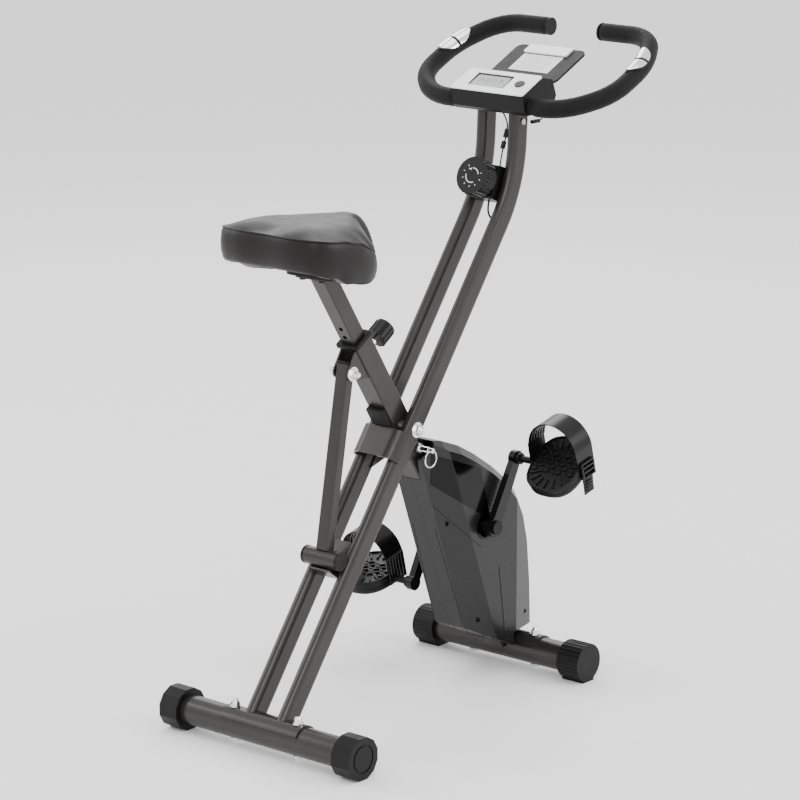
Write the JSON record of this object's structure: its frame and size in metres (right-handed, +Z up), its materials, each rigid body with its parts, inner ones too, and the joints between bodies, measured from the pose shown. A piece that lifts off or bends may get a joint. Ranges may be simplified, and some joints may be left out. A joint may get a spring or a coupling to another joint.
{
  "type": "exercise bike",
  "caption": "Folding upright exercise bike with crossing frame, padded height-adjustable seat, foam-covered handlebar, console, tray, enclosed belt drive and strapped pedals.",
  "frame": {"origin": "on the floor under the centre of the bounding box", "axes": "+X forwards, +Y to the rider's left, +Z up; the floor is z = 0"},
  "size_m": [0.8546, 0.4442, 1.1073],
  "materials": {
    "frame_paint": "satin, slightly warm dark grey",
    "black_plastic": "fine matte",
    "case_plastic": "satin moulded",
    "knob_plastic": "semi-gloss",
    "bright_steel": "polished",
    "plain_steel": "machined",
    "zinc_steel": "zinc plated",
    "soft_rubber": "matte",
    "seat_vinyl": "soft sheen",
    "grip_foam": "matte cellular",
    "face_silver": "metallic",
    "lcd_glass": "clear",
    "flywheel_iron": "turned",
    "belt_rubber": "ribbed",
    "pulley_plastic": "moulded",
    "cable_sheath": "satin",
    "pedal_plastic": "textured",
    "strap_plastic": "glossy ribbed",
    "sensor_metal": "bright"
  },
  "bodies": {
    "frame": {"rear_stabilizer": "frame_paint", "rear_end_caps": "black_plastic", "rear_bolts_and_nuts": "bright_steel", "frame_tube_left": "frame_paint", "frame_tube_right": "frame_paint", "pivot_band": "frame_paint", "frame_brackets": "frame_paint", "pivot_bolt_set": "bright_steel", "knob_bracket": "black_plastic", "handlebar": "frame_paint", "foam_grip_left": "grip_foam", "foam_grip_right": "grip_foam", "handlebar_end_caps": "black_plastic", "pulse_sensor_shells": "black_plastic", "pulse_sensor_plates": "sensor_metal", "console_body": "black_plastic", "console_face": "face_silver", "lcd_screen": "lcd_glass", "tablet_tray": "black_plastic", "tray_clip": "face_silver", "bar_bracket_and_screws": "zinc_steel", "tension_cable": "cable_sheath", "sensor_wire": "cable_sheath", "pulse_lead": "cable_sheath", "wire_plugs": "black_plastic"},
    "beam": {"main_beam": "frame_paint", "drive_fixings": "plain_steel", "front_stabilizer": "frame_paint", "front_end_caps": "black_plastic", "front_bolts_and_nuts": "bright_steel", "beam_collar": "black_plastic", "beam_bumper": "soft_rubber", "casing_left": "case_plastic", "casing_right": "case_plastic", "casing_screws": "zinc_steel", "drive_belt": "belt_rubber", "strut_bolt_and_nut": "bright_steel"},
    "strut": {"strut": "frame_paint", "strut_end_caps": "black_plastic"},
    "seat": {"seat_post": "frame_paint", "seat_base_and_bolts": "black_plastic", "seat_cushion": "seat_vinyl"},
    "seat_pin": {"seat_pin": "bright_steel"},
    "seat_knob": {"seat_knob": "knob_plastic"},
    "lock_pin": {"lock_pin": "bright_steel"},
    "lock_ring": {"lock_ring": "bright_steel"},
    "crank": {"crank_axle_and_caps": "plain_steel", "crank_arm_left": "frame_paint", "crank_arm_right": "frame_paint", "drive_pulley": "pulley_plastic", "pedal_spindles": "plain_steel"},
    "flywheel": {"flywheel": "flywheel_iron", "flywheel_pulley_and_bearing": "plain_steel"},
    "magnet_carriage": {"magnet_carriage": "zinc_steel"},
    "tension_knob": {"tension_knob": "knob_plastic"},
    "pedal_right": {"pedal_right": "pedal_plastic", "pedal_strap_right": "strap_plastic"},
    "pedal_left": {"pedal_left": "pedal_plastic", "pedal_strap_left": "strap_plastic"},
    "console_button": {"console_button": "knob_plastic"}
  },
  "joints": [
    {"name": "fold", "type": "hinge", "parent": "frame", "child": "beam", "pos_m": [-0.0673, 0, 0.482], "axis": [0, 1, 0], "range_deg": [0, 28]},
    {"name": "strut_swing", "type": "hinge", "parent": "beam", "child": "strut", "pos_m": [-0.1963, 0, 0.596], "axis": [0, 1, 0], "range_deg": [-22, 0]},
    {"name": "seat_slide", "type": "slide", "parent": "beam", "child": "seat", "axis": [-0.5408, 0, 0.8412], "range_m": [-0.08, 0.045]},
    {"name": "seat_pin_pull", "type": "slide", "parent": "beam", "child": "seat_pin", "axis": [0.8412, 0, 0.5408], "range_m": [0, 0.008], "stiffness_N_per_m": 1200, "springref_m": -0.004},
    {"name": "seat_knob_turn", "type": "hinge", "parent": "seat_pin", "child": "seat_knob", "pos_m": [-0.15393, 0, 0.61676], "axis": [0.8412, 0, 0.5408], "range_deg": [-180, 180]},
    {"name": "lock_pin_pull", "type": "slide", "parent": "frame", "child": "lock_pin", "axis": [0, -1, 0], "range_m": [0, 0.045]},
    {"name": "ring_swing", "type": "hinge", "parent": "lock_pin", "child": "lock_ring", "pos_m": [-0.04242, -0.054, 0.44331], "axis": [1, 0, 0], "range_deg": [-60, 0]},
    {"name": "crank_spin", "type": "hinge", "parent": "beam", "child": "crank", "pos_m": [0.1117, 0, 0.28], "axis": [0, 1, 0], "continuous": true},
    {"name": "flywheel_spin", "type": "hinge", "parent": "beam", "child": "flywheel", "pos_m": [0.1457, 0, 0.188], "axis": [0, 1, 0], "continuous": true},
    {"name": "pedal_right_spin", "type": "hinge", "parent": "crank", "child": "pedal_right", "pos_m": [0.17115, -0.158, 0.38996], "axis": [0, 1, 0], "continuous": true},
    {"name": "pedal_left_spin", "type": "hinge", "parent": "crank", "child": "pedal_left", "pos_m": [0.05225, 0.158, 0.17004], "axis": [0, 1, 0], "continuous": true},
    {"name": "knob_turn", "type": "hinge", "parent": "frame", "child": "tension_knob", "pos_m": [0.1287, 0, 0.876], "axis": [0.9272, 0, -0.3746], "range_deg": [0, 300]},
    {"name": "magnet_swing", "type": "hinge", "parent": "beam", "child": "magnet_carriage", "pos_m": [0.1792, 0, 0.0959], "axis": [0, 1, 0], "range_deg": [0, 2.5]},
    {"name": "button_press", "type": "slide", "parent": "frame", "child": "console_button", "axis": [0.4341, 0, -0.9009], "range_m": [0, 0.0015], "stiffness_N_per_m": 600, "springref_m": -0.001}
  ],
  "couplings": [
    {"joint": "strut_swing", "follows": "fold", "ratio": -0.77},
    {"joint": "flywheel_spin", "follows": "crank_spin", "ratio": 5},
    {"joint": "magnet_swing", "follows": "knob_turn", "ratio": 0.00833}
  ]
}
